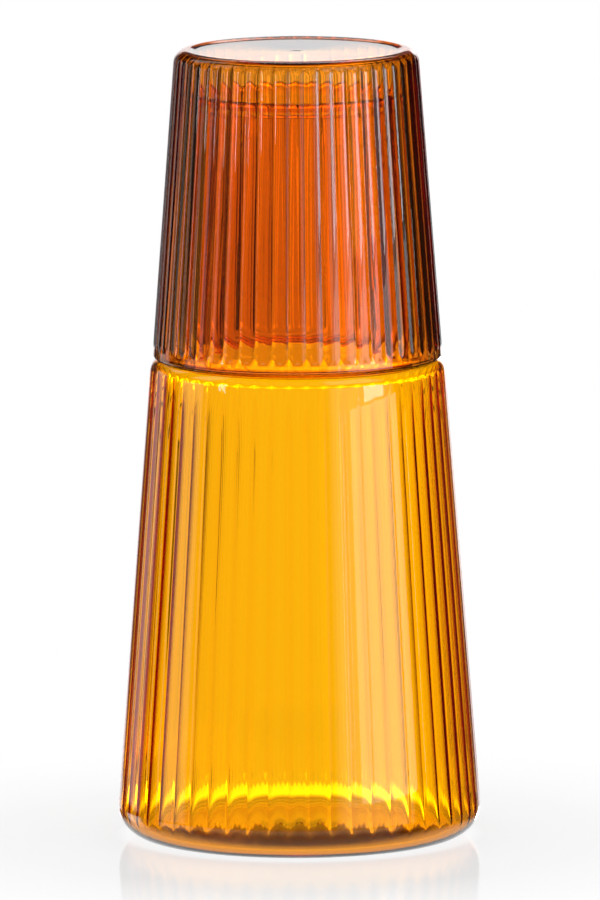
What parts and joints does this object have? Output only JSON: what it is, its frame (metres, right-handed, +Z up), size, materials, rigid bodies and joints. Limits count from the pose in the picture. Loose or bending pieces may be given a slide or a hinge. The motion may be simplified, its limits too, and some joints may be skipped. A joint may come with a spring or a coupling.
{
  "type": "carafe with tumbler lid",
  "caption": "Ribbed amber glass bedside carafe with its tumbler turned upside down over the neck, resting on the shoulder as a lid that lifts off.",
  "frame": {"origin": "centre of the carafe's foot, on the surface that it stands on", "axes": "+Z up along the axis of both glasses; X and Y are alike, and +Y points away from the viewer"},
  "size_m": [0.1066, 0.1066, 0.2327],
  "materials": {
    "carafe_glass": "clear golden amber borosilicate glass, polished, ribbed inside",
    "tumbler_glass": "clear brown amber borosilicate glass, polished, ribbed outside"
  },
  "bodies": {
    "carafe": {"carafe": "carafe_glass"},
    "tumbler": {"tumbler": "tumbler_glass"}
  },
  "joints": [
    {"name": "tumbler_lift", "type": "slide", "parent": "carafe", "child": "tumbler", "axis": [0, 0, 1], "range_m": [0, 0.16]}
  ]
}
